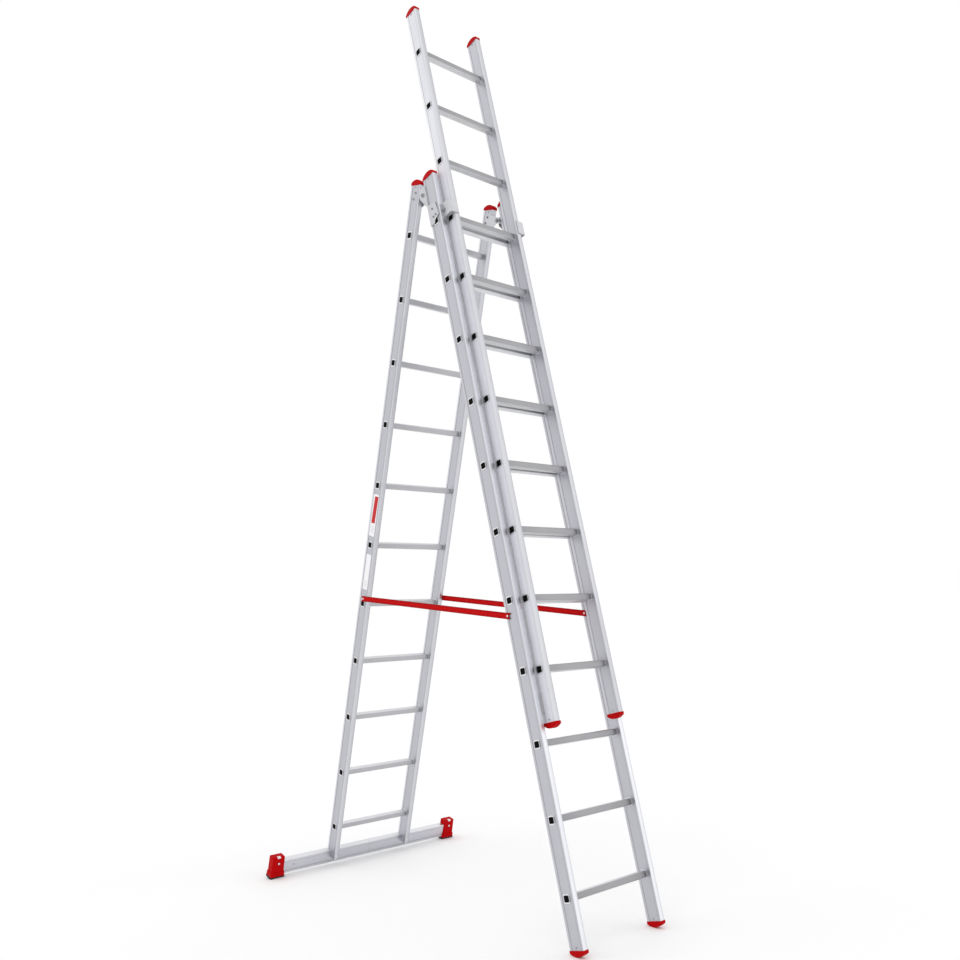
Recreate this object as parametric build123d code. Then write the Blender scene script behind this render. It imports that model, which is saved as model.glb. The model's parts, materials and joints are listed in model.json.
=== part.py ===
from build123d import *
import os
from math import cos, radians, sin

# Three-section combination ladder standing as an A-frame, with the upper section run out.
# +Z is up, the ladder is climbed from the -Y side, and X runs across the rungs.
# Each section is drawn upright on its own lowest rung (x across, -y front, z along the stiles)
# and is then leaned into place. All sizes are in millimetres and degrees.

# ---- driving dimensions ----
RUNG_COUNT = 11            # rungs in each section
RUNG_PITCH = 280.0         # rung to rung along a stile
LEAN = 14.45               # lean of each leg from the vertical when it stands open

STILE_THICK = 23.0         # across the ladder
MIDDLE_DEPTH = 72.0        # stile depth, front to back
UPPER_DEPTH = 68.0
REAR_DEPTH = 70.0
STILE_WALL = 1.4
STILE_CORNER = 2.5
RIM = 13.0                 # raised rim at each side of a stile's side face
BAND_DEEP = 1.0            # sunk band between the rims

MIDDLE_WIDTH = 454.0       # over the stiles
REAR_WIDTH = 442.0
NEST_GAP = 15.0            # between the middle section's stile and the upper section's stile

MIDDLE_BELOW, MIDDLE_ABOVE = 180.0, 217.0   # stile beyond the lowest and the highest rung
UPPER_BELOW, UPPER_ABOVE = 203.0, 210.0
REAR_BELOW, REAR_ABOVE = 160.0, 215.0

UPPER_RUN_OUT = 3          # rungs that the upper section is run out by
UPPER_DROP = 6.0           # the upper rungs sit this far below the middle ones
UPPER_FORWARD = 52.0       # stile centre to stile centre, upper in front of middle

RUNG_SIZE = 28.0
RUNG_CORNER = 6.0
RUNG_WALL = 1.1             # at the bottom of a groove
GROOVE_WIDE, GROOVE_DEEP, GROOVE_STEP, GROOVES = 1.6, 0.5, 3.6, 5
RUNG_FIT = 0.1             # rung in its stile holes, each side
SWAGE_RIM = 3.0            # swaged end beyond the tube, all round
SWAGE_THICK = 2.2
BEAD_RIM, BEAD_THICK = 2.2, 2.5             # collar on the inner face
PLUG_LONG, PLUG_SUNK = 10.0, 1.4

CAP_EDGE, CAP_PEAK, CAP_LIP = 10.0, 24.0, 1.2
FOOT_EDGE, FOOT_PEAK, FOOT_LIP = 10.0, 23.0, 1.6
PLUG_IN, PLUG_FIT = 24.0, 0.25              # spigot of a cap or foot inside the stile

HINGE_BACK = 14.0          # pivot behind the middle stile's back face
HINGE_ABOVE = 155.0        # pivot above the middle section's highest rung
HINGE_FRONT = 43.0         # pivot in front of the rear stile's front face
HINGE_PLATE = 4.0
PIVOT_RADIUS, PIVOT_FIT = 6.0, 0.06
LOBE_RADIUS = 24.0
SPACER_RADIUS = 10.0
RUN_GAP = 0.3              # between faces that move past each other

BOLT_RADIUS, BOLT_FIT = 3.0, 0.05
HEAD_RADIUS, HEAD_THICK = 5.2, 3.0

GUIDE_TALL, GUIDE_THICK, GUIDE_GAP = 62.0, 3.0, 0.5
GUIDE_ABOVE = 30.0         # centre of the guide above the middle section's highest rung
GUIDE_OUT = 23.0           # outer face of the guide's web from the upper stile
GUIDE_LAP = 17.0           # lip over the upper stile's front

BAR_LONG, BAR_HIGH, BAR_DEEP = 1060.0, 66.0, 32.0
BAR_TOP_BELOW = 123.0      # top of the stabiliser bar below the rear section's lowest rung
BAR_FIT = 0.2
JOINER_LONG = 320.0
SHOE_WIDE, SHOE_DEEP, SHOE_UP, SHOE_DOWN = 68.0, 46.0, 24.0, 5.0
SHOE_FLARE, SHOE_STEP = 3.0, 20.0
SHOE_SCREW_DROP = 8.0      # screw below the bar's top
SOLE_THICK = 12.0
SOLE_CURVE = 75.0          # the soles are curved front to back, so that they roll with the lean

STRAP_WIDE, STRAP_THICK = 25.0, 1.8
STRAP_DROP = 56.0          # below the middle section's fifth rung from the foot
STRAP_BACK = 24.0          # behind the middle stile's centre
STRAP_RISE = 6.0           # from the rear section's fifth swaged rung end up to the washer's middle
WASHER_RADIUS = 5.2
STRAP_TAIL = 16.0
STRAP_STAND = 2.0          # washer between the strap and the stile

# ---- sizes that follow ----
SWAGE_PROUD = SWAGE_THICK - BAND_DEEP
RUNG_SPAN = (RUNG_COUNT - 1) * RUNG_PITCH
HINGE_BEHIND = MIDDLE_DEPTH / 2 + HINGE_BACK
HINGE_AHEAD = REAR_DEPTH / 2 + HINGE_FRONT
SWAGED_HALF = RUNG_SIZE / 2 + SWAGE_RIM
UPPER_WIDTH = MIDDLE_WIDTH - 2 * STILE_THICK - 2 * NEST_GAP
FOOT_CURVE = ((MIDDLE_DEPTH / 2) ** 2 + (FOOT_PEAK - FOOT_EDGE) ** 2) / (2 * (FOOT_PEAK - FOOT_EDGE))
STRAP_RUNG = RUNG_COUNT // 2 - 1
BAR_FRONT = 0.0
BAR_Y = BAR_FRONT + BAR_DEEP / 2
SHOE_TOP = -BAR_TOP_BELOW + SHOE_UP
SHOE_BOTTOM = -BAR_TOP_BELOW - BAR_HIGH - SHOE_DOWN
SOLE_BOTTOM = SHOE_BOTTOM - SOLE_THICK


def box(x0, x1, y0, y1, z0, z1):
    """A block from its lowest to its highest corner."""
    middle = Pos((x0 + x1) / 2, (y0 + y1) / 2, (z0 + z1) / 2)
    return middle * Box(abs(x1 - x0), abs(y1 - y0), abs(z1 - z0))


def rod_x(x0, x1, y, z, radius):
    """A round rod along X."""
    return Pos((x0 + x1) / 2, y, z) * Rot(0, 90, 0) * Cylinder(radius, abs(x1 - x0))


def rod_y(y0, y1, x, z, radius):
    """A round rod along Y."""
    return Pos(x, (y0 + y1) / 2, z) * Rot(90, 0, 0) * Cylinder(radius, abs(y1 - y0))


def slab_x(face, x0, x1):
    """A flat outline in (y, z), given as a face on the YZ plane, as a plate from x0 to x1."""
    return Pos(min(x0, x1), 0, 0) * extrude(face, amount=abs(x1 - x0), dir=(1, 0, 0))


def rung_heights():
    return [index * RUNG_PITCH for index in range(RUNG_COUNT)]


# ---- stiles ----
def stile_outline(depth, inset=0.0):
    """Outline of a box section: flat front and back, sunk bands along both sides."""
    thick = STILE_THICK - 2 * inset
    deep = depth - 2 * inset
    corner = max(STILE_CORNER - inset, 0.5)
    outline = RectangleRounded(thick, deep, corner)
    band = depth - 2 * RIM
    for side in (-1, 1):
        centre = side * (STILE_THICK / 2 - BAND_DEEP / 2 - inset + 0.01)
        outline -= Pos(centre, 0) * Rectangle(BAND_DEEP + 0.02, band + 2 * inset)
    return outline


def stile(side, width, depth, below, above, bolts_x=()):
    """One stile with its rung holes and the holes of bolts that cross it."""
    section = stile_outline(depth) - stile_outline(depth, STILE_WALL)
    length = below + RUNG_SPAN + above
    centre = side * (width / 2 - STILE_THICK / 2)
    body = Pos(centre, 0, -below) * extrude(section, amount=length)
    hole = RectangleRounded(RUNG_SIZE + 2 * RUNG_FIT, RUNG_SIZE + 2 * RUNG_FIT, RUNG_CORNER)
    cutter = extrude(Plane.YZ * hole, amount=STILE_THICK + 4)
    start = min(side * width / 2, side * (width / 2 - STILE_THICK)) - 2
    body -= [Pos(start, 0, height) * cutter for height in rung_heights()]
    outer, inner = side * (width / 2 + 2), side * (width / 2 - STILE_THICK - 2)
    body -= [rod_x(inner, outer, y, z, BOLT_RADIUS + BOLT_FIT) for y, z in bolts_x]
    return body


# ---- rungs ----
def rung(width):
    """A grooved square tube, swaged over the outer faces and beaded against the inner ones."""
    outline = RectangleRounded(RUNG_SIZE, RUNG_SIZE, RUNG_CORNER)
    for step in range(GROOVES):
        across = (step - (GROOVES - 1) / 2) * GROOVE_STEP
        for side in (-1, 1):
            cut = Rectangle(GROOVE_WIDE, 2 * GROOVE_DEEP)
            outline -= Pos(across, side * RUNG_SIZE / 2) * cut
    inside = RUNG_SIZE - 2 * RUNG_WALL - 2 * GROOVE_DEEP
    bore = RectangleRounded(inside, inside, RUNG_CORNER - RUNG_WALL)
    half = width / 2 - BAND_DEEP + SWAGE_THICK
    tube = extrude(Plane.YZ * outline, amount=half, both=True)
    swage_size = RUNG_SIZE + 2 * SWAGE_RIM
    bead_size = RUNG_SIZE + 2 * BEAD_RIM
    swage = RectangleRounded(swage_size, swage_size, RUNG_CORNER + SWAGE_RIM)
    bead = RectangleRounded(bead_size, bead_size, RUNG_CORNER + BEAD_RIM)
    inner = width / 2 - STILE_THICK + BAND_DEEP
    for side in (-1, 1):
        tube += slab_x(Plane.YZ * swage, side * (width / 2 - BAND_DEEP), side * half)
        tube += slab_x(Plane.YZ * bead, side * inner, side * (inner - BEAD_THICK))
    return tube - extrude(Plane.YZ * bore, amount=half + 1, both=True)


def rung_plug():
    """The dark plug inside the left end of a rung, with its outer face at x = 0."""
    size = RUNG_SIZE - 2 * RUNG_WALL - 2 * GROOVE_DEEP - 2 * RUNG_FIT
    plug = RectangleRounded(size, size, RUNG_CORNER - RUNG_WALL)
    return extrude(Plane.YZ * plug, amount=PLUG_LONG)


def rung_set(width):
    one = rung(width)
    return [Pos(0, 0, height) * one for height in rung_heights()]


def plug_set(width):
    face = width / 2 - BAND_DEEP + SWAGE_THICK - PLUG_SUNK
    one = rung_plug()
    plugs = []
    for height in rung_heights():
        plugs.append(Pos(-face, 0, height) * one)
        plugs.append(Pos(face - PLUG_LONG, 0, height) * one)
    return plugs


# ---- caps and feet ----
def end_piece(depth, edge, peak, lip, curve=None):
    """A domed end with a spigot, on a stile end at z = 0 that opens upwards from the dome."""
    half = depth / 2 + lip
    rise = peak - edge
    radius = curve if curve else (half ** 2 + rise ** 2) / (2 * rise)
    wide = STILE_THICK + 2 * lip
    dome = rod_x(-wide / 2, wide / 2, 0, -peak + radius, radius)
    block = box(-wide / 2, wide / 2, -half, half, -peak, 0) & dome
    spigot = stile_outline(depth, STILE_WALL + PLUG_FIT)
    return block + extrude(spigot, amount=PLUG_IN)


def cap_set(width, depth, above):
    """Two domed caps on the top ends of a section."""
    one = Rot(180, 0, 0) * end_piece(depth, CAP_EDGE, CAP_PEAK, CAP_LIP)
    centre = width / 2 - STILE_THICK / 2
    return [Pos(side * centre, 0, RUNG_SPAN + above) * one for side in (-1, 1)]


def foot_set(width, depth, below):
    """Two domed feet on the lower ends of a section."""
    one = end_piece(depth, FOOT_EDGE, FOOT_PEAK, FOOT_LIP, FOOT_CURVE)
    centre = width / 2 - STILE_THICK / 2
    return [Pos(side * centre, 0, -below) * one for side in (-1, 1)]


# ---- bolts ----
def bolt_x(side, head_x, end_x, y, z, radius=BOLT_RADIUS, head=HEAD_RADIUS, thick=HEAD_THICK):
    """A bolt along X with a domed head outside head_x and a nut beyond end_x."""
    shank = rod_x(side * head_x, side * end_x, y, z, radius)
    cap = rod_x(side * head_x, side * (head_x + thick), y, z, head)
    nut = Pos(side * (end_x - thick / 2), y, z) * Rot(0, 90, 0)
    nut *= extrude(RegularPolygon(head, 6), amount=thick / 2, both=True)
    return shank + cap + nut


# ---- hinge ----
def front_plate(side):
    """Plate on the middle stile's outer face, with an arm rising behind the stile to the pivot."""
    back = MIDDLE_DEPTH / 2
    pivot_z = RUNG_SPAN + HINGE_ABOVE
    tip = HINGE_BEHIND + LOBE_RADIUS
    shoulder_z = pivot_z - 2.9 * LOBE_RADIUS
    outline = make_face(Polyline(
        (back, RUNG_SPAN - 8), (back, shoulder_z), (tip - 18, pivot_z - 1.5 * LOBE_RADIUS), (tip, pivot_z - 6),
        (tip, pivot_z + 8), (tip - 12, pivot_z + 33), (back - 8, pivot_z + 33), (back - 8, shoulder_z + 4),
        (-back + 18, shoulder_z - 4), (-back + 8, RUNG_SPAN + 18), (2, RUNG_SPAN + 4), (6, RUNG_SPAN - 8),
        close=True))
    outer = MIDDLE_WIDTH / 2
    plate = slab_x(Plane.YZ * outline, side * outer, side * (outer + HINGE_PLATE))
    relief = SWAGED_HALF + RUNG_FIT + RUN_GAP
    plate -= box(side * (outer - 1), side * (outer + SWAGE_PROUD + RUN_GAP), -relief, relief,
                 RUNG_SPAN - relief, RUNG_SPAN + relief)
    plate -= rod_x(side * (outer - 1), side * (outer + HINGE_PLATE + 1), HINGE_BEHIND, pivot_z,
                   PIVOT_RADIUS + PIVOT_FIT)
    for y, z in front_bolts():
        plate -= rod_x(side * (outer - 1), side * (outer + HINGE_PLATE + 1), y, z, BOLT_RADIUS + BOLT_FIT)
    return plate


def front_bolts():
    """Bolts of the front hinge plate, clear of the swaged end of the highest rung."""
    clear = SWAGED_HALF + HEAD_RADIUS + 1
    return [(7, RUNG_SPAN + clear + 38), (8, RUNG_SPAN + clear), (-8, RUNG_SPAN + clear + 3)]


def rear_bolts():
    """Bolts of the rear hinge plate."""
    return [(-5, RUNG_SPAN + REAR_ABOVE - 34), (5, RUNG_SPAN + REAR_ABOVE - 60)]


def rear_plate(side, pivot_z):
    """Plate on the rear stile's inner face, reaching forward to the pivot."""
    face = REAR_WIDTH / 2 - STILE_THICK
    top = RUNG_SPAN + REAR_ABOVE - 26
    bottom = RUNG_SPAN + REAR_ABOVE - 90
    front = -REAR_DEPTH / 2
    pad = make_face(Polyline(
        (12, top), (front, top), (-HINGE_AHEAD, pivot_z + 14), (-HINGE_AHEAD, pivot_z - 14),
        (front, bottom), (12, bottom), close=True))
    outline = pad + Pos(-HINGE_AHEAD, pivot_z) * Circle(14)
    plate = slab_x(Plane.YZ * outline, side * face, side * (face - HINGE_PLATE))
    plate -= rod_x(side * (face + 1), side * (face - HINGE_PLATE - 1), -HINGE_AHEAD, pivot_z,
                   PIVOT_RADIUS + PIVOT_FIT)
    for y, z in rear_bolts():
        plate -= rod_x(side * (face + 1), side * (face - HINGE_PLATE - 1), y, z, BOLT_RADIUS + BOLT_FIT)
    return plate


def pivot_bolt(side):
    """Pivot bolt through both hinge plates."""
    outer = MIDDLE_WIDTH / 2 + HINGE_PLATE
    inner = REAR_WIDTH / 2 - STILE_THICK - HINGE_PLATE - RUN_GAP
    return bolt_x(side, outer, inner, HINGE_BEHIND, RUNG_SPAN + HINGE_ABOVE, PIVOT_RADIUS, 9.0, 5.0)


def pivot_spacer(side):
    """Tube that holds the two hinge plates apart."""
    outer = MIDDLE_WIDTH / 2
    inner = REAR_WIDTH / 2 - STILE_THICK + RUN_GAP
    z = RUNG_SPAN + HINGE_ABOVE
    tube = rod_x(side * inner, side * outer, HINGE_BEHIND, z, SPACER_RADIUS)
    return tube - rod_x(side * (inner - 1), side * (outer + 1), HINGE_BEHIND, z, PIVOT_RADIUS + BOLT_FIT)


# ---- guides between the middle and the upper section ----
def guide_bracket(side):
    """Folded strip on the middle stile's front that wraps round the upper stile's front."""
    z0, z1 = RUNG_SPAN + GUIDE_ABOVE - GUIDE_TALL / 2, RUNG_SPAN + GUIDE_ABOVE + GUIDE_TALL / 2
    web = UPPER_WIDTH / 2 + GUIDE_OUT
    front = -MIDDLE_DEPTH / 2
    lip = -UPPER_FORWARD - UPPER_DEPTH / 2 - GUIDE_GAP
    foot = MIDDLE_WIDTH / 2 - 1
    bracket = box(side * (web - GUIDE_THICK), side * web, lip - GUIDE_THICK, front, z0, z1)
    bracket += box(side * (web - GUIDE_THICK), side * foot, front - GUIDE_THICK, front, z0, z1)
    bracket += box(side * (UPPER_WIDTH / 2 - GUIDE_LAP), side * web, lip - GUIDE_THICK, lip, z0, z1)
    edges = bracket.edges().filter_by(Axis.Z).group_by(Axis.Y)[0]
    bracket = fillet(edges.sort_by(Axis.X)[-1 if side > 0 else 0], 2 * GUIDE_THICK)
    x, z = guide_bolt()
    bracket -= rod_y(front - GUIDE_THICK - 1, front + 1, side * x, z, BOLT_RADIUS + BOLT_FIT)
    y = slider_bolt()
    bracket -= rod_x(side * (web + 1), side * (web - GUIDE_THICK - 1), y, z, BOLT_RADIUS + BOLT_FIT)
    return bracket


def guide_bolt():
    web = UPPER_WIDTH / 2 + GUIDE_OUT
    return (web + MIDDLE_WIDTH / 2 - 1) / 2, RUNG_SPAN + GUIDE_ABOVE


def slider_bolt():
    return -MIDDLE_DEPTH / 2 - GUIDE_THICK - 12


def guide_slider(side):
    """Plastic block that fills the guide beside the upper stile."""
    z0, z1 = RUNG_SPAN + GUIDE_ABOVE - GUIDE_TALL / 2 + 4, RUNG_SPAN + GUIDE_ABOVE + GUIDE_TALL / 2 - 4
    web = UPPER_WIDTH / 2 + GUIDE_OUT - GUIDE_THICK
    lip = -UPPER_FORWARD - UPPER_DEPTH / 2 - GUIDE_GAP
    near = UPPER_WIDTH / 2 + SWAGE_PROUD + GUIDE_GAP
    block = box(side * near, side * web, lip, -MIDDLE_DEPTH / 2 - GUIDE_THICK, z0, z1)
    y, z = slider_bolt(), RUNG_SPAN + GUIDE_ABOVE
    return block - rod_x(side * (web - 12), side * (web + 1), y, z, BOLT_RADIUS + BOLT_FIT)


def guide_screw(side):
    """Screw that holds the slider to the guide's web."""
    web = UPPER_WIDTH / 2 + GUIDE_OUT
    z = RUNG_SPAN + GUIDE_ABOVE
    shank = rod_x(side * (web - GUIDE_THICK - 11), side * web, slider_bolt(), z, BOLT_RADIUS)
    return shank + rod_x(side * web, side * (web + HEAD_THICK), slider_bolt(), z, HEAD_RADIUS)


def guide_fixing(side):
    """Bolt that holds the guide to the middle stile's front wall."""
    x, z = guide_bolt()
    front = -MIDDLE_DEPTH / 2
    shank = rod_y(front - GUIDE_THICK, front + 8, side * x, z, BOLT_RADIUS)
    return shank + rod_y(front - GUIDE_THICK - HEAD_THICK, front - GUIDE_THICK, side * x, z, 4.6)


def run_pad(side):
    """Pad near the upper stile's foot that runs along the middle stile's inner face."""
    face = UPPER_WIDTH / 2
    reach = NEST_GAP - GUIDE_GAP
    back = UPPER_DEPTH / 2 - 2
    return box(side * face, side * (face + reach), back - 14, back, -UPPER_BELOW + 40, -UPPER_BELOW + 110)


# ---- stabiliser ----
def bar_outline(inset=0.0):
    """Box section of the stabiliser bar, in (y, z)."""
    outline = RectangleRounded(BAR_DEEP - 2 * inset, BAR_HIGH - 2 * inset, max(STILE_CORNER - inset, 0.5))
    band = BAR_HIGH - 2 * RIM
    for side in (-1, 1):
        centre = side * (BAR_DEEP / 2 - BAND_DEEP / 2 - inset + 0.01)
        outline -= Pos(centre, 0) * Rectangle(BAND_DEEP + 0.02, band + 2 * inset)
    return outline


def bar_z():
    return -BAR_TOP_BELOW - BAR_HIGH / 2


def bar_bolts():
    return REAR_WIDTH / 2 - STILE_THICK / 2, -BAR_TOP_BELOW - (REAR_BELOW - BAR_TOP_BELOW) / 2


def stabiliser_bar(side):
    """Half of the stabiliser bar, butted against the other half at the middle."""
    section = bar_outline() - bar_outline(STILE_WALL)
    half = Pos(0, BAR_Y, bar_z()) * slab_x(Plane.YZ * section, side * 0.2, side * BAR_LONG / 2)
    x, z = bar_bolts()
    return half - rod_y(BAR_FRONT - 1, BAR_FRONT + BAR_DEEP + 1, side * x, z, BOLT_RADIUS + BOLT_FIT)


def bar_joiner():
    """Inner tube that joins the two halves."""
    section = bar_outline(STILE_WALL + BAR_FIT) - bar_outline(2 * STILE_WALL + BAR_FIT)
    return Pos(0, BAR_Y, bar_z()) * extrude(Plane.YZ * section, amount=JOINER_LONG / 2, both=True)


def stabiliser_bolt(side):
    """Bolt through the front strip of the stile and the bar."""
    x, z = bar_bolts()
    front, back = -REAR_DEPTH / 2, BAR_FRONT + BAR_DEEP
    shank = rod_y(front, back, side * x, z, BOLT_RADIUS)
    head = rod_y(front - HEAD_THICK, front, side * x, z, HEAD_RADIUS)
    return shank + head + rod_y(back, back + HEAD_THICK, side * x, z, HEAD_RADIUS)


def shoe(side):
    """Red end foot with a socket for the bar's end and a flared base."""
    out, inn = BAR_LONG / 2 + 9, BAR_LONG / 2 + 9 - SHOE_WIDE
    upper = Pos(side * (out + inn) / 2, BAR_Y, SHOE_BOTTOM + SHOE_STEP) * extrude(
        RectangleRounded(SHOE_WIDE - 4, SHOE_DEEP - 4, 5), amount=SHOE_TOP - SHOE_BOTTOM - SHOE_STEP, taper=1.2)
    lower = Pos(side * (out + inn) / 2, BAR_Y, SHOE_BOTTOM) * extrude(
        RectangleRounded(SHOE_WIDE + SHOE_FLARE, SHOE_DEEP + SHOE_FLARE, 5), amount=SHOE_STEP, taper=4)
    body = fillet(upper.faces().sort_by(Axis.Z)[-1].edges(), 4) + lower
    socket = bar_outline(-BAR_FIT)
    body -= Pos(0, BAR_Y, bar_z()) * slab_x(Plane.YZ * socket, side * (inn - 5), side * (BAR_LONG / 2 + BAR_FIT))
    return body - shoe_hole(side)


def shoe_hole(side):
    """Hole of the screw that holds the foot to the bar, through the foot's front wall."""
    x, z = shoe_screw_place(side)
    return rod_y(BAR_Y - SHOE_DEEP / 2 - 5, BAR_FRONT + 1, x, z, BOLT_RADIUS + BOLT_FIT)


def shoe_screw_place(side):
    return side * (BAR_LONG / 2 - SHOE_WIDE / 2 + 9), -BAR_TOP_BELOW - SHOE_SCREW_DROP


def shoe_screw(side):
    """Screw head and shank in the foot's front wall."""
    x, z = shoe_screw_place(side)
    face = BAR_Y - SHOE_DEEP / 2 + 1.5
    shank = rod_y(face, BAR_FRONT - BAR_FIT, x, z, BOLT_RADIUS)
    return shank + rod_y(face - 2, face, x, z, 4.5)


def sole(side):
    """Black rubber sole, curved front to back."""
    centre = side * (BAR_LONG / 2 + 9 - SHOE_WIDE / 2)
    half_x, half_y = (SHOE_WIDE + SHOE_FLARE) / 2 - 0.6, (SHOE_DEEP + SHOE_FLARE) / 2 - 0.6
    block = box(centre - half_x, centre + half_x, BAR_Y - half_y, BAR_Y + half_y, SOLE_BOTTOM, SHOE_BOTTOM)
    roll = rod_x(centre - half_x - 1, centre + half_x + 1, BAR_Y, SOLE_BOTTOM + SOLE_CURVE, SOLE_CURVE)
    return block & roll


def rear_stile(side):
    """Rear stile, notched behind for the stabiliser bar."""
    body = stile(side, REAR_WIDTH, REAR_DEPTH, REAR_BELOW, REAR_ABOVE, rear_bolts())
    outer, inner = side * (REAR_WIDTH / 2 + 2), side * (REAR_WIDTH / 2 - STILE_THICK - 2)
    body -= box(outer, inner, BAR_FRONT - BAR_FIT, REAR_DEPTH, -REAR_BELOW - 2, -BAR_TOP_BELOW + BAR_FIT)
    x, z = bar_bolts()
    return body - rod_y(-REAR_DEPTH / 2 - 1, 0, side * x, z, BOLT_RADIUS + BOLT_FIT)


# ---- placing ----
def front_leg():
    """Middle section: leaned back, its curved feet on the floor."""
    drop = (-MIDDLE_BELOW - FOOT_PEAK + FOOT_CURVE) * cos(radians(LEAN)) - FOOT_CURVE
    return Pos(0, 0, -drop) * Rot(-LEAN, 0, 0)


def upper_leg():
    """Upper section: in front of the middle one and run out along it."""
    return front_leg() * Pos(0, -UPPER_FORWARD, UPPER_RUN_OUT * RUNG_PITCH - UPPER_DROP)


def pivot_point():
    """Hinge pivot in the standing ladder, before it is centred."""
    return (front_leg() * Pos(0, HINGE_BEHIND, RUNG_SPAN + HINGE_ABOVE)).position


def rear_pivot_z():
    """Height of the pivot on the rear section that sets its soles on the floor."""
    rise = pivot_point().Z - SOLE_CURVE + (HINGE_AHEAD + BAR_Y) * sin(radians(LEAN))
    return rise / cos(radians(LEAN)) + SOLE_BOTTOM + SOLE_CURVE


def rear_leg():
    """Rear section: hung on the pivot and leaned forward."""
    return Pos(pivot_point()) * Rot(LEAN, 0, 0) * Pos(0, HINGE_AHEAD, -rear_pivot_z())


# ---- straps, between the two legs ----
def strap_ends(side):
    """Rear end and front end of a strap's middle line: outside both stiles on the left, and
    outside the rear stile and inside the middle one on the right."""
    stand = STRAP_STAND + STRAP_THICK / 2
    front_x = MIDDLE_WIDTH / 2 + stand if side < 0 else MIDDLE_WIDTH / 2 - STILE_THICK - stand
    rear_x = REAR_WIDTH / 2 + stand
    rear = rear_leg() * Pos(side * rear_x, -4, STRAP_RUNG * RUNG_PITCH + SWAGED_HALF + STRAP_RISE)
    front = front_leg() * Pos(side * front_x, STRAP_BACK, STRAP_RUNG * RUNG_PITCH - STRAP_DROP)
    return rear.position, front.position


def strap_frame(side):
    """Frame at the strap's middle: x along it to the front, z out of its outer face."""
    rear, front = strap_ends(side)
    along = (front - rear).normalized()
    out = Vector(side, 0, 0)
    normal = (out - along * out.dot(along)).normalized()
    return Plane(origin=(rear + front) * 0.5, x_dir=along, z_dir=normal), (front - rear).length


def strap(side):
    """Webbing strap with a hole at each end and a forked front tail."""
    frame, length = strap_frame(side)
    outline = RectangleRounded(length + 2 * STRAP_TAIL, STRAP_WIDE, 2)
    end = length / 2
    outline -= Pos(end + STRAP_TAIL, 0) * Rot(0, 0, 45) * Rectangle(9, 9)
    for place in (-end, end):
        outline -= Pos(place, 0) * Circle(BOLT_RADIUS + BOLT_FIT)
    return extrude(frame * outline, amount=STRAP_THICK / 2, both=True)


def strap_rivet(side, at_rear):
    """Rivet and washer that hold one end of a strap to a stile."""
    frame, length = strap_frame(side)
    x = -length / 2 if at_rear else length / 2
    away = -1 if side > 0 and not at_rear else 1
    reach = BAND_DEEP if at_rear else 0
    washer_thick = STRAP_STAND + reach - 0.2
    head = Pos(x, 0, away * (STRAP_THICK / 2 + 1)) * Cylinder(5.5, 2)
    shank = Pos(x, 0, 0) * Cylinder(BOLT_RADIUS, STRAP_THICK)
    washer = Pos(x, 0, -away * (STRAP_THICK + washer_thick) / 2) * Cylinder(WASHER_RADIUS, washer_thick)
    return frame * (head + shank + washer)


# ---- the whole ladder ----
def middle_nodes():
    bolts = front_bolts()
    outer = MIDDLE_WIDTH / 2 + HINGE_PLATE
    inner = MIDDLE_WIDTH / 2 - STILE_THICK + BAND_DEEP
    sides = (-1, 1)
    stiles = {}
    for side, name in ((-1, "left"), (1, "right")):
        body = stile(side, MIDDLE_WIDTH, MIDDLE_DEPTH, MIDDLE_BELOW, MIDDLE_ABOVE, bolts)
        x, z = guide_bolt()
        front = -MIDDLE_DEPTH / 2
        stiles["middle_stile_" + name] = body - rod_y(front - 1, front + 8, side * x, z, BOLT_RADIUS + BOLT_FIT)
    return {
        **stiles,
        "middle_rungs": rung_set(MIDDLE_WIDTH),
        "middle_rung_plugs": plug_set(MIDDLE_WIDTH),
        "middle_caps": cap_set(MIDDLE_WIDTH, MIDDLE_DEPTH, MIDDLE_ABOVE),
        "middle_feet": foot_set(MIDDLE_WIDTH, MIDDLE_DEPTH, MIDDLE_BELOW),
        "hinge_plate_front_left": [front_plate(-1)],
        "hinge_plate_front_right": [front_plate(1)],
        "hinge_bolts_front": [bolt_x(side, outer, inner, y, z) for side in sides for y, z in bolts],
        "hinge_pivot_bolts": [pivot_bolt(side) for side in sides],
        "hinge_spacers": [pivot_spacer(side) for side in sides],
        "guide_bracket_left": [guide_bracket(-1)],
        "guide_bracket_right": [guide_bracket(1)],
        "guide_sliders": [guide_slider(side) for side in sides],
        "guide_screws": [guide_screw(side) for side in sides],
        "guide_bolts": [guide_fixing(side) for side in sides],
    }


def upper_nodes():
    return {
        "upper_stile_left": stile(-1, UPPER_WIDTH, UPPER_DEPTH, UPPER_BELOW, UPPER_ABOVE),
        "upper_stile_right": stile(1, UPPER_WIDTH, UPPER_DEPTH, UPPER_BELOW, UPPER_ABOVE),
        "upper_rungs": rung_set(UPPER_WIDTH),
        "upper_rung_plugs": plug_set(UPPER_WIDTH),
        "upper_caps": cap_set(UPPER_WIDTH, UPPER_DEPTH, UPPER_ABOVE),
        "upper_feet": foot_set(UPPER_WIDTH, UPPER_DEPTH, UPPER_BELOW),
        "upper_run_pads": [run_pad(side) for side in (-1, 1)],
    }


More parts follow.
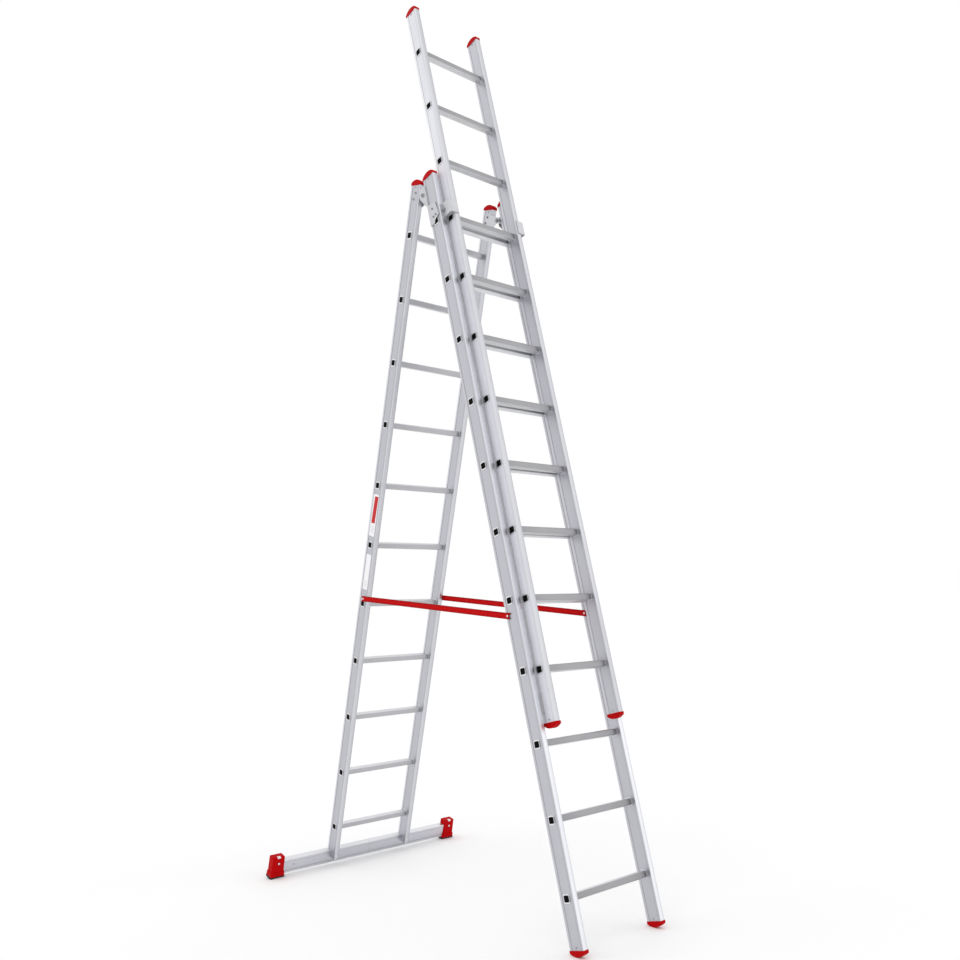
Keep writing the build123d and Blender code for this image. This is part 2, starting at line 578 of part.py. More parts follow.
def rear_nodes():
    sides = (-1, 1)
    outer = REAR_WIDTH / 2 - BAND_DEEP
    inner = REAR_WIDTH / 2 - STILE_THICK - HINGE_PLATE
    return {
        "rear_stile_left": rear_stile(-1),
        "rear_stile_right": rear_stile(1),
        "rear_rungs": rung_set(REAR_WIDTH),
        "rear_rung_plugs": plug_set(REAR_WIDTH),
        "rear_caps": cap_set(REAR_WIDTH, REAR_DEPTH, REAR_ABOVE),
        "hinge_plate_rear_left": [rear_plate(-1, rear_pivot_z())],
        "hinge_plate_rear_right": [rear_plate(1, rear_pivot_z())],
        "hinge_bolts_rear": [bolt_x(side, outer, inner, y, z) for side in sides for y, z in rear_bolts()],
        "stabiliser_bar_left": [stabiliser_bar(-1)],
        "stabiliser_bar_right": [stabiliser_bar(1)],
        "stabiliser_joiner": [bar_joiner()],
        "stabiliser_bolts": [stabiliser_bolt(side) for side in sides],
        "stabiliser_shoe_left": [shoe(-1)],
        "stabiliser_shoe_right": [shoe(1)],
        "stabiliser_shoe_screws": [shoe_screw(side) for side in sides],
        "stabiliser_sole_left": [sole(-1)],
        "stabiliser_sole_right": [sole(1)],
    }


def strap_nodes():
    return {
        "strap_left": [strap(-1)],
        "strap_right": [strap(1)],
        "strap_rivets_middle": [strap_rivet(side, False) for side in (-1, 1)],
        "strap_rivets_rear": [strap_rivet(side, True) for side in (-1, 1)],
    }


def placed(nodes, place):
    moved = {}
    for name, pieces in nodes.items():
        pieces = pieces if isinstance(pieces, list) else [pieces]
        solids = [solid for piece in pieces for solid in piece.solids()]
        moved[name] = Compound([place * solid for solid in solids])
    return moved


def main():
    nodes = {}
    nodes.update(placed(middle_nodes(), front_leg()))
    nodes.update(placed(upper_nodes(), upper_leg()))
    nodes.update(placed(rear_nodes(), rear_leg()))
    nodes.update(placed(strap_nodes(), Pos(0, 0, 0)))
    whole = Compound(list(nodes.values())).bounding_box()
    centre = Pos(0, -whole.center().Y, -whole.min.Z)
    os.makedirs("parts", exist_ok=True)
    for name, shape in nodes.items():
        export_step(centre * shape, "parts/" + name + ".step")
    pivot = centre * Pos(pivot_point())
    print("box", whole.size, "raised by", whole.min.Z)
    print("pivot", pivot.position, "slide axis", (0, sin(radians(LEAN)), cos(radians(LEAN))))


main()
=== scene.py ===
import json
import math

import bmesh
import bpy
from mathutils import Matrix, Vector


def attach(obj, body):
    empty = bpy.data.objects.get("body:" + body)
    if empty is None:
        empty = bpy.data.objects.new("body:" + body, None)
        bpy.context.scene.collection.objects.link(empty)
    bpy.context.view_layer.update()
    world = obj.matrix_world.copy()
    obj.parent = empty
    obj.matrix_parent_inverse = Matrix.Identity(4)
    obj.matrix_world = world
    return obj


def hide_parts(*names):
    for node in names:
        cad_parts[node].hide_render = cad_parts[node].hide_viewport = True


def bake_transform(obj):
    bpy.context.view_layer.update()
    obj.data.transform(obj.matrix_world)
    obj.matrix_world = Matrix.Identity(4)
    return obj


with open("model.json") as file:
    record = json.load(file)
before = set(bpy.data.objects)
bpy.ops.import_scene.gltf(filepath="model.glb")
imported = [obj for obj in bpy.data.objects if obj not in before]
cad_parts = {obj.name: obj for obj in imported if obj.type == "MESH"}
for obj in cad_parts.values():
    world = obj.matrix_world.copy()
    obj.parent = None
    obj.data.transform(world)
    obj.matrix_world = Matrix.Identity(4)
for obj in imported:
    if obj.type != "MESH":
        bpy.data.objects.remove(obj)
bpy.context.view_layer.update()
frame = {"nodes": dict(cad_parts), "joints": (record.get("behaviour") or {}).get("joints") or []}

nodes = frame["nodes"]
joints = {joint["name"]: joint for joint in frame["joints"]}

# ---- sizes of the ladder, in metres, as the CAD has them ----
PITCH, RUNGS = 0.280, 11
SPAN = PITCH * (RUNGS - 1)
THICK = 0.023
BAND, BAND_DEEP = 0.013, 0.001
WIDTH = {"middle": 0.454, "upper": 0.378, "rear": 0.442}
DEPTH = {"middle": 0.072, "upper": 0.068, "rear": 0.070}
BELOW = {"middle": 0.180, "upper": 0.203, "rear": 0.160}
ABOVE = {"middle": 0.217, "upper": 0.210, "rear": 0.215}
RUNG, SWAGE = 0.028, 0.017
HINGE_BEHIND, HINGE_AHEAD, HINGE_ABOVE, HINGE_PLATE = 0.050, 0.078, 0.155, 0.004
REAR_PIVOT = 2.962724
UPPER_FORWARD, UPPER_UP = 0.052, 3 * PITCH - 0.006
BAR_LONG, BAR_HIGH, BAR_DEEP, BAR_TOP = 1.060, 0.066, 0.032, 0.123
SIDES, HANDS = (-1, 1), ("left", "right")

PIVOT = Vector(joints["frame_fold"]["pos_m"])
RUN = Vector(joints["upper_slide"]["axis"])
LEAN = math.atan2(RUN.y, RUN.z)

# each section's own frame: x across, -y front, z along the stiles, its lowest rung at 0
PLACE = {
    "middle": Matrix.Translation(PIVOT) @ Matrix.Rotation(-LEAN, 4, "X")
    @ Matrix.Translation((0, -HINGE_BEHIND, -SPAN - HINGE_ABOVE)),
    "rear": Matrix.Translation(PIVOT) @ Matrix.Rotation(LEAN, 4, "X")
    @ Matrix.Translation((0, HINGE_AHEAD, -REAR_PIVOT)),
}
PLACE["upper"] = PLACE["middle"] @ Matrix.Translation((0, -UPPER_FORWARD, UPPER_UP))


# ---- shader maths ----
class Tone:
    """A value in a material; arithmetic on it adds the Math nodes."""

    def __init__(self, paint, socket):
        self.paint, self.socket = paint, socket

    def maths(self, operation, first, second=None, clamp=False):
        values = {0: first} if second is None else {0: first, 1: second}
        return self.paint.node("Math", {"operation": operation, "use_clamp": clamp}, values)

    def __add__(self, other):
        return self.maths("ADD", self, other)

    def __sub__(self, other):
        return self.maths("SUBTRACT", self, other)

    def __mul__(self, other):
        return self.maths("MULTIPLY", self, other)

    def __truediv__(self, other):
        return self.maths("DIVIDE", self, other)

    def __rsub__(self, other):
        return self.maths("SUBTRACT", other, self)

    __radd__, __rmul__ = __add__, __mul__

    def size(self):
        return self.maths("ABSOLUTE", self)

    def clamp(self):
        return self.maths("ADD", self, 0.0, True)

    def fraction(self):
        return self.maths("FRACT", self)

    def sine(self):
        return self.maths("SINE", self)

    def above(self, edge, soft):
        """0 below edge and 1 above it, over the soft width."""
        return ((self - (edge - soft / 2)) / soft).clamp()

    def below(self, edge, soft):
        return 1 - self.above(edge, soft)


class Paint:
    """A material with one Principled shader."""

    def __init__(self, name, **shader):
        self.material = bpy.data.materials.new(name)
        self.material.use_nodes = True
        self.tree = self.material.node_tree
        self.shader = self.tree.nodes["Principled BSDF"]
        self.set(**{key.replace("_", " ").title().replace("Ior", "IOR"): value
                    for key, value in shader.items()})

    def set(self, **values):
        for name, value in values.items():
            self.put(self.shader.inputs[name], value)

    def put(self, socket, value):
        if isinstance(value, Tone):
            self.tree.links.new(value.socket, socket)
        else:
            socket.default_value = value

    def node(self, kind, settings=None, values=None, out=0):
        """Any node: its settings first, then the values or links of its sockets."""
        node = self.tree.nodes.new("ShaderNode" + kind)
        for name, value in (settings or {}).items():
            if name == "stops":
                ramp = node.color_ramp.elements
                while len(ramp) < len(value):
                    ramp.new(0.5)
                for stop, (place, colour) in zip(ramp, value):
                    stop.position, stop.color = place, (*colour, 1)
            else:
                setattr(node, name, value)
        for name, value in (values or {}).items():
            self.put(node.inputs[name], value)
        return Tone(self, node.outputs[out])

    def place(self, section=None, scale=(1, 1, 1)):
        """Object coordinates, turned into a section's own frame, then stretched by scale."""
        point = self.node("TexCoord", out="Object")
        if section:
            inverse = PLACE[section].inverted()
            turn = inverse.to_euler()
            point = self.node("Mapping", {"vector_type": "POINT"}, {
                "Vector": point, "Location": inverse.translation, "Rotation": turn})
        if scale != (1, 1, 1):
            point = self.node("VectorMath", {"operation": "MULTIPLY"}, {0: point, 1: scale})
        return point

    def axis(self, point, letter):
        return self.node("SeparateXYZ", values={0: point}, out=letter)

    def noise(self, point, scale, detail=3.0, rough=0.5, distort=0.0):
        return self.node("TexNoise", values={
            "Vector": point, "Scale": scale, "Detail": detail, "Roughness": rough, "Distortion": distort})

    def mix(self, share, first, second):
        """A colour between two, each a colour or a link."""
        colour = [value if isinstance(value, Tone) else (*value, 1) for value in (first, second)]
        return self.node("Mix", {"data_type": "RGBA"}, {0: share, 6: colour[0], 7: colour[1]}, out=2)

    def bump(self, height, distance, strength=1.0):
        return self.node("Bump", values={"Height": height, "Distance": distance, "Strength": strength})


def scaled(colour, share):
    return tuple(channel * share for channel in colour)


# ---- finishes ----
BANDED = (0.560, 0.562, 0.605)
# painted shade darkens the stiles' front rims and painted light brightens their back rims
RIM_FRONT_PAINTED_SHADE, RIM_BACK_PAINTED_LIGHT = (0.500, 0.502, 0.540), (0.600, 0.602, 0.640)
# painted light and shade on the stiles' front and back walls: a mid tone, a darker tone towards the +x side, a
# painted highlight along the -x corner and painted shade along the +x corner
WALL_PAINTED_LIGHT_AND_SHADE = ((0.700, 0.710, 0.745), (0.560, 0.570, 0.600), (0.900, 0.905, 0.930), (0.380, 0.385, 0.410))


def stile_finish(section):
    """Drawn aluminium: a greyer sunk band and fine lines along the stile, with painted light and shade on its
    rims, walls, edges and band steps.
    """
    paint = Paint("drawn_stile_" + section, metallic=1.0)
    here = paint.place(section)
    half_band = DEPTH[section] / 2 - BAND
    across = paint.axis(here, "Y").size()
    in_band = across.below(half_band, 0.0012)
    lines = paint.noise(paint.place(section, (1, 1, 0.004)), 900.0, 2.0, 0.6)
    slow = paint.noise(paint.place(section, (1, 1, 0.25)), 9.0, 3.0, 0.55)
    scuff = paint.noise(paint.place(section, (1, 1, 0.5)), 55.0, 5.0, 0.7).above(0.66, 0.12)
    step_shade = (across - half_band).size().below(0.0008, 0.0008)
    sideways = paint.axis(here, "X")
    right = sideways.above(0, 0.002) * 2 - 1
    from_middle = sideways.size() - (WIDTH[section] - THICK) / 2
    outer = from_middle.above(THICK / 2 - 0.0030, 0.0010) * across.below(DEPTH[section] / 2 - 0.0010, 0.0010)
    behind = paint.axis(here, "Y").above(0, 0.002)
    # painted shade on the front rim, painted light on the back rim, lifted more on the rear section
    rim = paint.mix(behind, RIM_FRONT_PAINTED_SHADE, scaled(RIM_BACK_PAINTED_LIGHT, 1.22 if section == "rear" else 1.0))
    shade = paint.mix(in_band, rim, BANDED)
    # painted light: the upper stiles' outer faces, shaded by the middle stiles beside them, are painted lighter
    # towards the back and made less metallic
    if section == "upper":
        painted_fill_light = paint.mix(behind, (0.72, 0.725, 0.76), (0.93, 0.935, 0.955))
        shade = paint.mix(outer, shade, paint.mix(in_band, painted_fill_light, (0.80, 0.805, 0.86)))
        paint.set(Metallic=1 - outer * 0.8)
    wall = across.above(DEPTH[section] / 2 - 0.0006, 0.0006)
    over_wall = from_middle * right
    # the walls get painted light and shade: brightness set per section by share, a painted highlight at the -x
    # corner, painted shade towards and at the +x corner
    share = {"middle": 1.28, "upper": 0.92, "rear": 0.96}[section]
    face = paint.mix(over_wall.above(0.0035, 0.012), scaled(WALL_PAINTED_LIGHT_AND_SHADE[0], share), scaled(WALL_PAINTED_LIGHT_AND_SHADE[1], share))
    face = paint.mix(over_wall.below(0.0014 - THICK / 2, 0.0012), face, WALL_PAINTED_LIGHT_AND_SHADE[2])
    face = paint.mix(over_wall.above(THICK / 2 - 0.0022, 0.0018), face, WALL_PAINTED_LIGHT_AND_SHADE[3])
    shade = paint.mix(wall, shade, face)
    # painted highlight along the side faces' front and back edges
    edge = across.above(DEPTH[section] / 2 - 0.0030, 0.0010) * (1 - wall)
    shade = paint.mix(edge * 0.7, shade, (0.84, 0.845, 0.87))
    # painted shade: a darker line along the sunk band's step
    shade = paint.mix(step_shade * 0.8, shade, scaled(BANDED, 0.62))
    shade = paint.mix(((lines - 0.5) * 0.5 + (slow - 0.5) * 0.55 + 0.2).clamp(), shade, scaled(BANDED, 0.86))
    shade = paint.mix(scuff * 0.16, shade, (0.42, 0.42, 0.44))
    gloss = 0.36 + in_band * 0.06 + slow * 0.10 + scuff * 0.08
    relief = paint.bump(lines, 0.00004)
    paint.set(**{"Base Color": shade, "Roughness": gloss, "Normal": relief})
    return paint.material


def rung_finish(section):
    """Drawn aluminium with lines along the rung, worn a little brighter in the middle, with painted light on its
    top and bottom faces and painted shade on its front face.
    """
    paint = Paint("drawn_rung_" + section, metallic=1.0)
    lines = paint.noise(paint.place(section, (0.006, 1, 1)), 1100.0, 2.0, 0.6)
    broad = paint.noise(paint.place(section, (0.10, 1, 1)), 60.0, 3.0, 0.6)
    slow = paint.noise(paint.place(section, (1, 1, 1)), 7.0, 3.0, 0.5)
    here = paint.place(section)
    worn = paint.axis(here, "X").size().below(0.13, 0.12)
    level = ((paint.axis(here, "Z") / PITCH + 0.5).fraction() - 0.5) * PITCH
    # painted light on the rungs' top and bottom faces and painted shade on their front faces, lighter or darker
    # for each section
    flat = level.size().above(RUNG / 2 - 0.0020, 0.0030)
    ahead = paint.axis(here, "Y").below(0.0020 - RUNG / 2, 0.0030)
    light, dark = (0.50, 0.50, 0.515), (0.36, 0.36, 0.375)
    shade = paint.mix(((lines - 0.5) * 0.7 + (broad - 0.5) * 0.7 + 0.45).clamp(), light, dark)
    shade = paint.mix(ahead * 0.8, shade, scaled(dark, 0.80 if section != "rear" else 1.35))
    shade = paint.mix(flat * 0.8, shade, scaled((0.74, 0.745, 0.76), 1.0 if section == "upper" else 1.22))
    shade = paint.mix(worn * slow * 0.25, shade, (0.62, 0.62, 0.64))
    gloss = 0.30 + broad * 0.16 + slow * 0.06
    paint.set(**{"Base Color": shade, "Roughness": gloss, "Normal": paint.bump(lines, 0.00005)})
    return paint.material


def bar_finish():
    """Drawn aluminium along the stabiliser bar, with a greyer sunk band between its rims, painted highlights on
    its edges and painted shade lines at its steps.
    """
    paint = Paint("drawn_bar", metallic=1.0)
    here = paint.place("rear")
    middle = -BAR_TOP - BAR_HIGH / 2
    across = (paint.axis(here, "Z") - middle).size()
    in_band = across.below(BAR_HIGH / 2 - BAND, 0.0012)
    lines = paint.noise(paint.place("rear", (0.004, 1, 1)), 900.0, 2.0, 0.6)
    slow = paint.noise(paint.place("rear", (0.3, 1, 1)), 10.0, 3.0, 0.55)
    seam = paint.axis(here, "X").size().below(0.0008, 0.0006)
    # painted highlight along the bar's top and bottom edges
    edge = across.above(BAR_HIGH / 2 - 0.0030, 0.0010)
    step_shade = (across - (BAR_HIGH / 2 - BAND)).size().below(0.0011, 0.0010)
    shade = paint.mix(in_band, (0.68, 0.685, 0.72), (0.68, 0.68, 0.73))
    shade = paint.mix(edge * 0.7, shade, (0.86, 0.865, 0.89))
    shade = paint.mix(seam * 0.5, shade, (0.35, 0.35, 0.37))
    # painted shade: a darker line along the sunk band's step
    shade = paint.mix(step_shade * 0.8, shade, scaled(BANDED, 0.60))
    shade = paint.mix(((lines - 0.5) * 0.5 + (slow - 0.5) * 0.5 + 0.2).clamp(), shade, scaled(BANDED, 0.86))
    paint.set(**{"Base Color": shade, "Roughness": 0.30 + slow * 0.14, "Normal": paint.bump(lines, 0.00004)})
    return paint.material


def pressed_finish(name, colour, grain=1.0):
    """Zinc-plated steel or pressed aluminium: faint mottling and rolled lines."""
    paint = Paint(name, metallic=1.0)
    mottle = paint.noise(paint.place(), 160.0, 4.0, 0.65)
    cloud = paint.noise(paint.place(), 26.0, 3.0, 0.5)
    shade = paint.mix((mottle * 0.45 + cloud * 0.45).clamp(), colour, scaled(colour, 0.70))
    paint.set(**{"Base Color": shade, "Roughness": 0.28 + mottle * 0.16 * grain,
                 "Normal": paint.bump(mottle, 0.00006 * grain)})
    return paint.material


def moulded_finish(name, colour, dark, gloss, grain, level=0.5):
    """Injection-moulded plastic or rubber: a fine pebbled skin and slightly rubbed high spots."""
    paint = Paint(name, specular_ior_level=level)
    pebble = paint.noise(paint.place(), 900.0, 2.0, 0.5)
    cloud = paint.noise(paint.place(), 45.0, 3.0, 0.6)
    rubbed = paint.noise(paint.place(), 130.0, 5.0, 0.7).above(0.64, 0.14)
    shade = paint.mix(cloud, colour, dark)
    shade = paint.mix(rubbed * 0.12, shade, tuple(min(1.0, channel * 1.5 + 0.02) for channel in colour))
    paint.set(**{"Base Color": shade, "Roughness": gloss + pebble * 0.10 + rubbed * 0.08,
                 "Normal": paint.bump(pebble, 0.00006 * grain)})
    return paint.material


def webbing_finish():
    """Woven strap: herringbone across the width, bound edges darkened with painted shade, a painted highlight
    along the middle line.
    """
    paint = Paint("strap_webbing", specular_ior_level=0.05)
    flat = paint.node("UVMap", {"uv_map": "weave"})
    along, across = paint.axis(flat, "X"), paint.axis(flat, "Y")
    side = (across - 0.5).size() * 2
    twill = (along * 2600 + (across * 26).sine() * 2.4).sine()
    picks = (across * 88).sine()
    weave = twill * 0.6 + picks * 0.4
    fuzz = paint.noise(paint.place(), 700.0, 3.0, 0.6)
    # painted shade darkens the strap's edges where its crowned face turns away, and a painted highlight runs
    # down its middle
    edge = side.above(0.80, 0.14)
    middle_highlight = side.below(0.16, 0.10)
    shade = paint.mix((weave * 0.22 + fuzz * 0.5).clamp(), (0.52, 0.0012, 0.002), (0.34, 0.001, 0.0015))
    shade = paint.mix(edge * 0.65, shade, (0.22, 0.002, 0.004))
    shade = paint.mix(middle_highlight * 0.55, shade, (0.68, 0.003, 0.005))
    paint.set(**{"Base Color": shade, "Roughness": 0.52 + fuzz * 0.2,
                 "Normal": paint.bump(weave + fuzz * 0.5, 0.00022)})
    return paint.material


def label_finish(red_share):
    """A plain white film with a slanted red panel, if it has a share of red, and a few grey bars."""
    paint = Paint("label_film", specular_ior_level=0.3)
    flat = paint.node("UVMap", {"uv_map": "print"})
    u, v = paint.axis(flat, "X"), paint.axis(flat, "Y")
    fleck = paint.noise(paint.place(), 500.0, 2.0, 0.5)
    slant = u - 0.54 - (v - 0.63) * 0.18
    panel = slant.size().below(0.33, 0.03) * (v - 0.63).size().below(0.32, 0.006) * red_share
    bars = ((v * 95).sine().above(0.55, 0.3) * (v - 0.66).size().below(0.24, 0.01)
            * (u - 0.10).size().below(0.04, 0.02))
    lower = ((v * 140).sine().above(0.6, 0.3) * (v - 0.17).size().below(0.10, 0.01)
             * (u - 0.5).size().below(0.28, 0.02))
    shade = paint.mix(fleck, (0.90, 0.90, 0.92), (0.84, 0.84, 0.87))
    shade = paint.mix(panel, shade, (0.55, 0.003, 0.006))
    shade = paint.mix((bars + lower).clamp() * 0.55, shade, (0.30, 0.30, 0.33))
    paint.set(**{"Base Color": shade, "Roughness": 0.30 + fleck * 0.12, "Normal": paint.bump(fleck, 0.00002)})
    return paint.material


finish = {
    "plate": pressed_finish("pressed_plate", (0.66, 0.665, 0.69)),
    "bolt": pressed_finish("zinc_bolt", (0.40, 0.40, 0.42), 0.6),
    "rivet": pressed_finish("bright_rivet", (0.92, 0.92, 0.94), 0.5),
    "red": moulded_finish("red_plastic", (0.500, 0.0012, 0.0028), (0.410, 0.001, 0.002), 0.38, 1.0, 0.04),
    "plug": moulded_finish("black_plug", (0.003, 0.003, 0.003), (0.006, 0.006, 0.006), 0.6, 1.0, 0.03),
    "slider": moulded_finish("grey_slider", (0.42, 0.42, 0.44), (0.36, 0.36, 0.38), 0.45, 1.2, 0.3),
    "rubber": moulded_finish("sole_rubber", (0.012, 0.012, 0.013), (0.022, 0.022, 0.023), 0.62, 2.5, 0.3),
    "webbing": webbing_finish(),
    "bar": bar_finish(),
    **{"stile_" + section: stile_finish(section) for section in PLACE},
    **{"rung_" + section: rung_finish(section) for section in PLACE},
}


def dress(names, material):
    """Gives CAD nodes their finish."""
    for name in names:
        mesh = nodes[name].data
        mesh.materials.clear()
        mesh.materials.append(material)


for section in PLACE:
    dress([f"{section}_stile_left", f"{section}_stile_right"], finish["stile_" + section])
    dress([section + "_rungs"], finish["rung_" + section])
    dress([section + "_rung_plugs"], finish["plug"])
dress(["hinge_plate_front_left", "hinge_plate_front_right", "hinge_plate_rear_left", "hinge_plate_rear_right",
       "guide_bracket_left", "guide_bracket_right", "hinge_spacers"], finish["plate"])
dress(["stabiliser_bar_left", "stabiliser_bar_right", "stabiliser_joiner"], finish["bar"])
dress(["stabiliser_shoe_left", "stabiliser_shoe_right", "middle_caps", "upper_caps", "rear_caps", "middle_feet",
       "upper_feet"], finish["red"])
dress(["stabiliser_sole_left", "stabiliser_sole_right"], finish["rubber"])
dress(["guide_sliders", "upper_run_pads"], finish["slider"])
dress(["strap_left", "strap_right"], finish["webbing"])
dress(["hinge_bolts_front", "hinge_bolts_rear", "hinge_pivot_bolts", "guide_screws", "guide_bolts",
       "stabiliser_bolts", "stabiliser_shoe_screws", "strap_rivets_middle", "strap_rivets_rear"], finish["bolt"])


# ---- modelling ----
def only(piece):
    bpy.ops.object.select_all(action="DESELECT")
    piece.select_set(True)
    bpy.context.view_layer.objects.active = piece


def block(name, low, high):
    """A block from its lowest to its highest corner."""
    low, high = Vector(low), Vector(high)
    bpy.ops.object.select_all(action="DESELECT")
    bpy.ops.mesh.primitive_cube_add(size=1, location=(low + high) / 2, scale=high - low)
    bpy.ops.object.transform_apply(location=True, rotation=True, scale=True)
    bpy.context.object.name = name
    return bpy.context.object


def disc(name, radius, low, high, around=32):
    """A round or many-sided rod along Z."""
    bpy.ops.object.select_all(action="DESELECT")
    bpy.ops.mesh.primitive_cylinder_add(vertices=around, radius=radius, depth=high - low,
                                        location=(0, 0, (low + high) / 2))
    bpy.ops.object.transform_apply(location=True, rotation=True, scale=True)
    bpy.context.object.name = name
    return bpy.context.object


def open_up(piece, kind="FACE"):
    """Edit mode with nothing selected."""
    only(piece)
    bpy.ops.object.mode_set(mode="EDIT")
    bpy.ops.mesh.select_mode(type=kind)
    bpy.ops.mesh.select_all(action="DESELECT")


def pick(piece, kind, wanted):
    """Selects the faces, edges or vertices that pass the test, and nothing else."""
    bpy.ops.mesh.select_mode(type=kind)
    bpy.ops.mesh.select_all(action="DESELECT")
    mesh = bmesh.from_edit_mesh(piece.data)
    for item in {"FACE": mesh.faces, "EDGE": mesh.edges, "VERT": mesh.verts}[kind]:
        item.select_set(bool(wanted(item)))
    bmesh.update_edit_mesh(piece.data)


def shut():
    bpy.ops.object.mode_set(mode="OBJECT")


def middle_of(edge):
    return (edge.verts[0].co + edge.verts[1].co) / 2


def sharp(edge, angle=30):
    return len(edge.link_faces) == 2 and edge.calc_face_angle() > math.radians(angle)


def modify(piece, kind, **settings):
    """Adds a modifier and applies it."""
    only(piece)
    added = piece.modifiers.new(kind, kind)
    for name, value in settings.items():
        setattr(added, name, value)
    bpy.ops.object.modifier_apply(modifier=added.name)


def smooth(piece, angle=35):
    only(piece)
    bpy.ops.object.shade_smooth_by_angle(angle=math.radians(angle))


def copy_to(piece, name, place):
    """A copy with its own mesh, set in place in its mesh."""
    made = piece.copy()
    made.data = piece.data.copy()
    made.name = made.data.name = name
    bpy.context.scene.collection.objects.link(made)
    made.matrix_world = place
    only(made)
    bpy.ops.object.transform_apply(location=True, rotation=True, scale=True)
    if place.determinant() < 0:
        open_up(made)
        bpy.ops.mesh.select_all(action="SELECT")
        bpy.ops.mesh.normals_make_consistent(inside=False)
        shut()
    return made


def joined(pieces, name):
    bpy.ops.object.select_all(action="DESELECT")
    for piece in pieces:
        piece.select_set(True)
    bpy.context.view_layer.objects.active = pieces[0]
    bpy.ops.object.join()
    pieces[0].name = pieces[0].data.name = name
    return pieces[0]


def settle(piece, body, material, stands_for=()):
    """Last step of a piece: its finish, its body and the CAD nodes that it stands for."""
    piece.data.materials.clear()
    piece.data.materials.append(material)
    if stands_for:
        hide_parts(*stands_for)
    if body:
        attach(piece, body)
    return piece


def drop(piece):
    bpy.data.objects.remove(piece)


# ---- red end pieces ----
CAP_LIP, CAP_PEAK = 0.0012, 0.024
FOOT_LIP, FOOT_PEAK, FOOT_RIBS = 0.0016, 0.0230, 6
END_EDGE = 0.010
ARCH_ROWS = 15
RIB_DEEP, END_SOFT, END_HOLLOW = 0.0011, 0.0016, 0.012


def end_cap(name, depth, lip, edge, peak, ribs):
    """A domed end on a stile end at z = 0, rising to its peak, with ribs across it if it is a foot."""
    half_x, half_y = THICK / 2 + lip, depth / 2 + lip
    cap = block(name, (-half_x, -half_y, 0), (half_x, half_y, edge))
    open_up(cap)
    pick(cap, "EDGE", lambda e: abs(e.verts[0].co.y - e.verts[1].co.y) > half_y)
    bpy.ops.mesh.subdivide(number_cuts=2 * ribs + ARCH_ROWS)
    heights = sorted({round(v.co.y, 6) for v in bmesh.from_edit_mesh(cap.data).verts})
    rise = peak - edge
    radius = (half_y ** 2 + rise ** 2) / (2 * rise)
    for count, place in enumerate(heights):
        lift = math.sqrt(max(radius ** 2 - place ** 2, 0)) - (radius - rise)
        if ribs and 1 < count < len(heights) - 2 and count % 3 == 0:
            lift -= RIB_DEEP
        pick(cap, "VERT", lambda v: v.co.z > edge / 2 and abs(v.co.y - place) < 1e-5)
        bpy.ops.transform.translate(value=(0, 0, lift))
    pick(cap, "EDGE", lambda e: sharp(e, 40) and middle_of(e).z > edge * 0.6 or sharp(e, 80) and
         abs(e.verts[0].co.z - e.verts[1].co.z) > edge * 0.5)
    bpy.ops.mesh.bevel(offset=END_SOFT, offset_type="OFFSET", segments=3, affect="EDGES")
    pick(cap, "FACE", lambda f: f.normal.z < -0.9)
    bpy.ops.mesh.dissolve_faces()
    bpy.ops.mesh.inset(thickness=lip + END_SOFT)
    bpy.ops.mesh.extrude_region_move(TRANSFORM_OT_translate={"value": (0, 0, -END_HOLLOW)})
    shut()
    smooth(cap, 40)
    return cap


def end_pieces(kind, section, sample, height, turn):
    """Both ends of one section's stiles, left and right."""
    for side, hand in zip(SIDES, HANDS):
        x = side * (WIDTH[section] / 2 - THICK / 2)
        spot = PLACE[section] @ Matrix.Translation((x, 0, height)) @ turn
        piece = copy_to(sample, f"{section}_{kind}_{hand}", spot)
        stands_for = {"cap": "caps", "foot": "feet"}[kind]
        settle(piece, section, finish["red"], [f"{section}_{stands_for}"])
    drop(sample)


def end_caps():
    for section in ("middle", "upper", "rear"):
        cap = end_cap("cap", DEPTH[section], CAP_LIP, END_EDGE, CAP_PEAK, 0)
        end_pieces("cap", section, cap, SPAN + ABOVE[section], Matrix.Identity(4))
    for section in ("middle", "upper"):
        foot = end_cap("foot", DEPTH[section], FOOT_LIP, END_EDGE, FOOT_PEAK, FOOT_RIBS)
        end_pieces("foot", section, foot, -BELOW[section], Matrix.Rotation(math.pi, 4, "X"))


# ---- rolled rims of the rungs ----
RIM_CORNER, RIM_WIDE, RIM_THICK, RIM_OUT = 0.009, 0.0032, 0.0024, 0.00135
BEAD, BEAD_CORNER, BEAD_WIDE, BEAD_THICK, BEAD_OUT = 0.0163, 0.0083, 0.0021, 0.0030, 0.0017


def rolled_rim(half, corner, rim, thick, segments=3):
    """A rounded square ring on the XY plane, its rolled side up."""
    bpy.ops.object.select_all(action="DESELECT")
    bpy.ops.mesh.primitive_plane_add(size=2 * half)
    ring = bpy.context.object
    open_up(ring)
    bpy.ops.mesh.select_all(action="SELECT")
    bpy.ops.mesh.bevel(offset=corner, segments=segments, affect="VERTICES")
    pick(ring, "FACE", lambda f: True)
    bpy.ops.mesh.inset(thickness=rim)
    bpy.ops.mesh.delete(type="FACE")
    shut()
    modify(ring, "SOLIDIFY", thickness=thick, offset=-1.0)
    modify(ring, "BEVEL", width=thick * 0.42, segments=2, limit_method="ANGLE", angle_limit=math.radians(50))
    smooth(ring, 50)
    return ring


